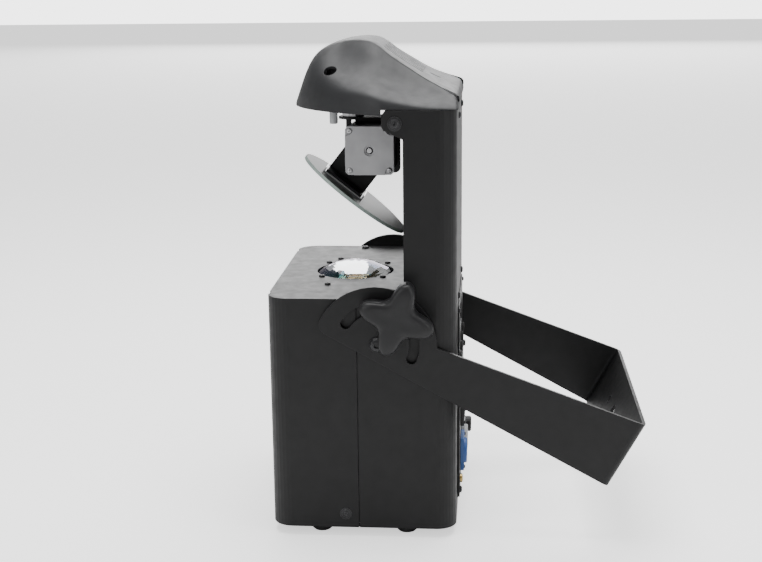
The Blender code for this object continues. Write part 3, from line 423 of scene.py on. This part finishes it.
# ---- hood ---------------------------------------------------------------------------------------
# Hood shape in millimetres. Y runs from the nose back, and FRONT is the CAD hood's own front edge.
RIM, NOSE, SHOULDER, HALF = 366.0, -64.5, 19.0, 109.0
FRONT, WALL = -64.2, 2.6
STATIONS = ([FRONT + 0.9 * k for k in range(8)] + [-56.6 + 2.0 * k for k in range(68)]
            + [79.2, 80.4, 81.4, 82.2])
NOSE_ROUNDNESS, WIDEST_CREST, FINE_STEPS = 1.3, 0.8, 4
VENT_X, VENT_SLOT = (-32, -20, -8, 4, 16, 28), (1.3, 16, 50)
CREST_SLOT = (0.2, 2.0, 54, 64)
BACK_END, BACK_TOP = 92, 370.3
BORE_X, BORE_Y, BORE_RADIUS, BORE_LEAN = 46, -27, 5.6, math.radians(38)
CREST_HEIGHT = [(NOSE, RIM + 0.4), (-58.6, 381), (-53.9, 393.3), (-48.2, 404.8), (-41.5, 412.8),
                (-31.7, 418.6), (-20.9, 422.2), (-9, 424), (4, 423.6), (12.3, 420.2), (23, 412),
                (37.9, 402.3), (53.8, 392.6), (74.2, 383), (80.2, 379), (82.2, 373)]
CREST_WIDTH = [(NOSE, 2), (-58, 12), (-48, 18), (-33, 23), (-22, 26), (-9, 35), (3, 42), (20, 49),
               (54, 62), (77, 84), (82.2, 88)]
DOMED = [(1, 0), (0.975, 0.2), (0.93, 0.38), (0.85, 0.55), (0.72, 0.70), (0.54, 0.83),
         (0.33, 0.92), (0.14, 0.97), (0, 0.99)]
FLARED = [(1, 0), (0.985, 0.16), (0.93, 0.28), (0.78, 0.38), (0.55, 0.50), (0.34, 0.66),
          (0.18, 0.83), (0.06, 0.95), (0, 0.985)]
FLARE_AMOUNT = [(-45, 0), (-10, 0.85), (15, 1), (55, 1), (82, 0.35)]


def curve_value(table, position):
    """Smooth curve through (position, value) pairs, flat beyond both ends."""
    if position <= table[0][0]:
        return table[0][1]
    if position >= table[-1][0]:
        return table[-1][1]
    i = next(k for k in range(len(table) - 1) if position <= table[k + 1][0])

    def slope(k):
        low, high = table[max(k - 1, 0)], table[min(k + 1, len(table) - 1)]
        return (high[1] - low[1]) / (high[0] - low[0])

    (p0, v0), (p1, v1) = table[i], table[i + 1]
    span = p1 - p0
    t = (position - p0) / span
    return ((2 * t ** 3 - 3 * t ** 2 + 1) * v0 + (t ** 3 - 2 * t ** 2 + t) * span * slope(i)
            + (3 * t ** 2 - 2 * t ** 3) * v1 + (t ** 3 - t ** 2) * span * slope(i + 1))


def hood_half(y):
    """Right half of a cross-section, from the rim to the crest's middle."""
    reach = max((SHOULDER - y) / (SHOULDER - NOSE), 0)
    rim = HALF * math.sqrt(max(1 - reach ** NOSE_ROUNDNESS, 0.0004))
    crest = max(min(curve_value(CREST_WIDTH, y), rim * WIDEST_CREST), 0.3)
    height = curve_value(CREST_HEIGHT, y) - RIM
    flare = curve_value(FLARE_AMOUNT, y)
    points = []
    for (dx, dz), (fx, fz) in zip(DOMED, FLARED):
        points.append((crest + (rim - crest) * (dx + (fx - dx) * flare),
                       height * (dz + (fz - dz) * flare)))
    points += [(crest * 0.66, height * 0.997), (crest * 0.33, height), (0, height)]
    across = [(k, p[0]) for k, p in enumerate(points)]
    up = [(k, p[1]) for k, p in enumerate(points)]
    places = [k / FINE_STEPS for k in range((len(points) - 1) * FINE_STEPS + 1)]
    return [(curve_value(across, k), curve_value(up, k)) for k in places]


def cutter(outline, low, high, tilt=0.0):
    """Upright prism in hood millimetres, which can lean sideways about its own middle."""
    bm = bmesh.new()
    middle = Vector((sum(p[0] for p in outline) / len(outline),
                     sum(p[1] for p in outline) / len(outline), low))
    turn = Matrix.Rotation(tilt, 3, "Y")
    skin(bm, [[turn @ (Vector((x, y, z)) - middle) + middle for x, y in outline] for z in (low, high)])
    bmesh.ops.recalc_face_normals(bm, faces=bm.faces)
    return bm


def round_slot(x, half, start, end):
    """Narrow slot with round ends, along Y."""
    ring = []
    for i in range(16):
        a = 2 * math.pi * (i + 0.5) / 16
        middle = end - half if math.sin(a) > 0 else start + half
        ring.append((x + half * math.cos(a), middle + half * math.sin(a)))
    return ring


def hood_surface():
    """Closed outer surface of the hood, one ring of points at each station."""
    bm = bmesh.new()
    rows = []
    for y in STATIONS:
        half = hood_half(y)
        ring = half + [(-x, z) for x, z in reversed(half[:-1])]
        rows.append([bm.verts.new((x, y, RIM + z)) for x, z in ring])
    for a, b in zip(rows, rows[1:]):
        for i in range(len(a) - 1):
            bm.faces.new((a[i], a[i + 1], b[i + 1], b[i]))
    bm.faces.new(rows[-1])
    bm.faces.new(rows[0][::-1])
    bmesh.ops.recalc_face_normals(bm, faces=bm.faces)
    return bm


def hood_cutters():
    """What is taken out of the hood: open underside at the back, vents, a crest slot and two bores."""
    back = [(-116, SHOULDER), (116, SHOULDER), (116, BACK_END), (-116, BACK_END)]
    shapes = [cutter(back, RIM - 4, BACK_TOP)]
    shapes += [cutter(round_slot(x, *VENT_SLOT), 385, 430) for x in VENT_X]
    shapes.append(cutter(round_slot(*CREST_SLOT), 376, 402))
    for sign in (1, -1):
        ring = [(sign * BORE_X + BORE_RADIUS * math.cos(a), BORE_Y + BORE_RADIUS * math.sin(a))
                for a in (2 * math.pi * i / 32 for i in range(32))]
        shapes.append(cutter(ring, RIM + 14, 440, sign * BORE_LEAN))
    return shapes


def make_hood():
    shell = add_object("hood_shell", mesh_from("hood_shell", hood_surface()))
    solidify = shell.modifiers.new("wall", "SOLIDIFY")
    solidify.thickness, solidify.offset = WALL, -1.0
    tools = []
    for k, shape in enumerate(hood_cutters()):
        tool = add_object(f"hood_cut_{k}", mesh_from(f"hood_cut_{k}", shape))
        cut = shell.modifiers.new(f"cut_{k}", "BOOLEAN")
        cut.operation, cut.solver, cut.object = "DIFFERENCE", "EXACT", tool
        tools.append(tool)
    bpy.context.view_layer.update()
    evaluated = shell.evaluated_get(bpy.context.evaluated_depsgraph_get())
    bm = bmesh.new()
    bm.from_mesh(evaluated.to_mesh())
    evaluated.to_mesh_clear()
    for spare in tools + [shell]:
        bpy.data.objects.remove(spare, do_unlink=True)
    low = corners("hood")[0]
    shift = Vector((0, low.y * 1000 - FRONT, low.z * 1000 - RIM))
    place = Matrix.Scale(MM, 4) @ Matrix.Translation(shift)
    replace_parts(make_piece("moulded_hood", bm, place, "housing", "hood_plastic"), "hood")


make_hood()


# ---- star knobs ---------------------------------------------------------------------------------
KNOB_STEPS = 144
LOBE_ANGLE = math.radians(71)
CORE_RADIUS, LOBE_REACH, LOBE_SHARPNESS = 17.5, 14.5, 1.4
# (x in millimetres, share of the lobed outline, radius of a round ring in its place)
KNOB_LEVELS = [(102, 0, 3.6), (117, 0, 3.6), (117, 0, 10.3), (117.2, 0, 10.5), (121, 0, 10.5),
               (121.5, 0.88, 0), (121.8, 0.94, 0), (122.4, 0.98, 0), (123.2, 1, 0), (133, 1, 0),
               (134.6, 0.985, 0), (136, 0.95, 0), (137, 0.89, 0), (137.6, 0.8, 0),
               (137.9, 0.66, 0), (137.7, 0.45, 0), (137.5, 0.2, 0)]


def lobed_radius(angle):
    wave = (1 + math.cos(4 * (angle - LOBE_ANGLE))) / 2
    return CORE_RADIUS + LOBE_REACH * wave ** LOBE_SHARPNESS


def make_knob(side, sign):
    """Four-lobed knob with a rolled rim, a shallow dished face and its stud."""
    centre_y, centre_z = stud_centre(side)
    rings = []
    for x, scale, radius in KNOB_LEVELS:
        ring = []
        for i in range(KNOB_STEPS):
            a = 2 * math.pi * i / KNOB_STEPS
            r = radius or lobed_radius(a) * scale
            ring.append((sign * x * MM, centre_y + r * MM * math.cos(a), centre_z + r * MM * math.sin(a)))
        rings.append(ring)
    bm = bmesh.new()
    skin(bm, rings)
    piece = make_piece(f"star_knob_{side}", bm, Matrix.Identity(4), f"knob_{side}", "black_plastic")
    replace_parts(piece, f"knob_{side}")


for side, sign in SIDES:
    make_knob(side, sign)


# ---- seam lips, display backing and socket contacts ---------------------------------------------
CHAMFER = 0.3 * MM
SEAM_HALF = 7 * MM
SEAM_END = 4 * MM
SEAM_GAP = 0.2 * MM
LIP_DEPTHS = (3.0 * MM, 1.9 * MM)
BACKING_DEPTHS = (1.4 * MM, 0.4 * MM)
# (node, start in Y from the plate, radius, circle the contacts stand on, length), in millimetres
CONTACTS = (("dmx_in_socket", -11, 1.1, 4.2, 8.0), ("dmx_out_socket", 1.3, 1.3, 4.2, 0.35),
            ("power_in_socket", -0.2, 1.2, 3.0, 0.35), ("power_out_socket", -0.2, 1.2, 3.0, 0.35))


def box_piece(name, low, high, body, slot):
    """Chamfered bar between two corners, in metres."""
    c = CHAMFER
    rings = []
    for z, inset in ((low.z, c), (low.z + c, 0), (high.z - c, 0), (high.z, c)):
        rings.append([(low.x + inset, low.y + inset, z), (high.x - inset, low.y + inset, z),
                      (high.x - inset, high.y - inset, z), (low.x + inset, high.y - inset, z)])
    bm = bmesh.new()
    skin(bm, rings)
    return make_piece(name, bm, Matrix.Identity(4), body, slot)


seam = shell_low.y - SEAM_GAP
for side, sign in SIDES:
    inner, outer = (sign * (cover_high.x - depth) for depth in LIP_DEPTHS)
    box_piece(f"seam_lip_{side}",
              Vector((min(inner, outer), seam - SEAM_HALF, cover_low.z + SEAM_END)),
              Vector((max(inner, outer), seam + SEAM_HALF, deck - SEAM_END)), "housing", "black_paint")

glass_low, glass_high = corners("display_window")
box_piece("display_backing", Vector((glass_low.x, glass_low.y - BACKING_DEPTHS[0], glass_low.z)),
          Vector((glass_high.x, glass_low.y - BACKING_DEPTHS[1], glass_high.z)), "housing", "black_plastic")


for node, start, radius, circle, length in CONTACTS:
    x, z = socket_middle(node)
    profile = [(0.35, 0), (radius, 0), (radius, length * 0.85), (radius * 0.6, length), (0.35, length)]
    for k, angle in enumerate((90, 210, 330)):
        a = math.radians(angle)
        at = (x + circle * MM * math.cos(a), plate_high.y + start * MM, z + circle * MM * math.sin(a))
        turned(f"{node}_contact_{k + 1}", profile, at, Y, "housing", "brass", 20)


# ---- stage, light and camera --------------------------------------------------------------------
FLOOR_SIZE, FLOOR_DROP = 12, 0.0002
WORLD_LIT, WORLD_SEEN = 0.42, 4.0
CAMERA_YAW, CAMERA_PITCH, CAMERA_ROLL = -0.08336258, 0.23051712, -0.01123749
CAMERA_PLACE, CAMERA_LENS, SENSOR = Vector((1.17308, 0.02694, 0.47916)), 62.21, 36.0
# (name, place, aimed at, size, power)
LAMPS = (("top_softbox", (-0.2, 0.0, 1.6), (0, 0, 0.2), 1.4, 40),
         ("front_softbox", (1.2, -1.1, 0.9), (0, 0, 0.22), 0.9, 7),
         ("rear_softbox", (0.9, 1.3, 0.8), (0, 0, 0.22), 0.8, 6),
         ("back_softbox", (-7.0, 0.0, 3.0), (0, 0, 0.25), 5.0, 330))


def add_world():
    """White surroundings, brighter to the camera than to the object that they light."""
    world = bpy.data.worlds.new("studio")
    world.use_nodes = True
    tree = world.node_tree
    backdrop = tree.nodes["Background"]
    backdrop.inputs["Color"].default_value = (1, 1, 1, 1)
    seen = tree.nodes.new("ShaderNodeLightPath")
    strength = tree.nodes.new("ShaderNodeMapRange")
    strength.inputs["To Min"].default_value = WORLD_LIT
    strength.inputs["To Max"].default_value = WORLD_SEEN
    link(tree, seen, "Is Camera Ray", strength, "Value")
    link(tree, strength, "Result", backdrop, "Strength")
    bpy.context.scene.world = world


def add_floor():
    bm = bmesh.new()
    bmesh.ops.create_grid(bm, x_segments=1, y_segments=1, size=FLOOR_SIZE)
    mesh = mesh_from("studio_floor", bm)
    material, tree, shader = new_material("pale_floor")
    shader.inputs["Base Color"].default_value = (0.92, 0.92, 0.92, 1)
    shader.inputs["Roughness"].default_value = 0.9
    shader.inputs["Emission Color"].default_value = (1, 1, 1, 1)
    lit = tree.nodes.new("ShaderNodeLightPath")
    link(tree, lit, "Is Camera Ray", shader, "Emission Strength")
    mesh.materials.append(material)
    floor = add_object("studio_floor", mesh)
    floor.location.z = CAD_BOX[0][2] - FLOOR_DROP


def add_area(name, at, target, size, power):
    light = bpy.data.lights.new(name, "AREA")
    light.shape, light.size, light.energy = "SQUARE", size, power
    lamp = add_object(name, light)
    lamp.location = at
    lamp.visible_camera = False
    lamp.rotation_euler = (Vector(target) - Vector(at)).to_track_quat("-Z", "Y").to_euler()


def add_camera():
    """Camera fitted to the photo: its turn, place and lens."""
    flat = math.cos(CAMERA_PITCH)
    forward = Vector((-math.cos(CAMERA_YAW) * flat, math.sin(CAMERA_YAW) * flat, -math.sin(CAMERA_PITCH)))
    level = forward.cross(Z).normalized()
    upright = level.cross(forward)
    right = math.cos(CAMERA_ROLL) * level + math.sin(CAMERA_ROLL) * upright
    up = -math.sin(CAMERA_ROLL) * level + math.cos(CAMERA_ROLL) * upright
    data = bpy.data.cameras.new("camera")
    data.sensor_width, data.lens = SENSOR, CAMERA_LENS
    camera = add_object("camera", data)
    turn = Matrix((right, up, -forward)).transposed().to_4x4()
    camera.matrix_world = Matrix.Translation(CAMERA_PLACE) @ turn
    bpy.context.scene.camera = camera


add_world()
add_floor()
for lamp_row in LAMPS:
    add_area(*lamp_row)
add_camera()

bpy.context.view_layer.update()
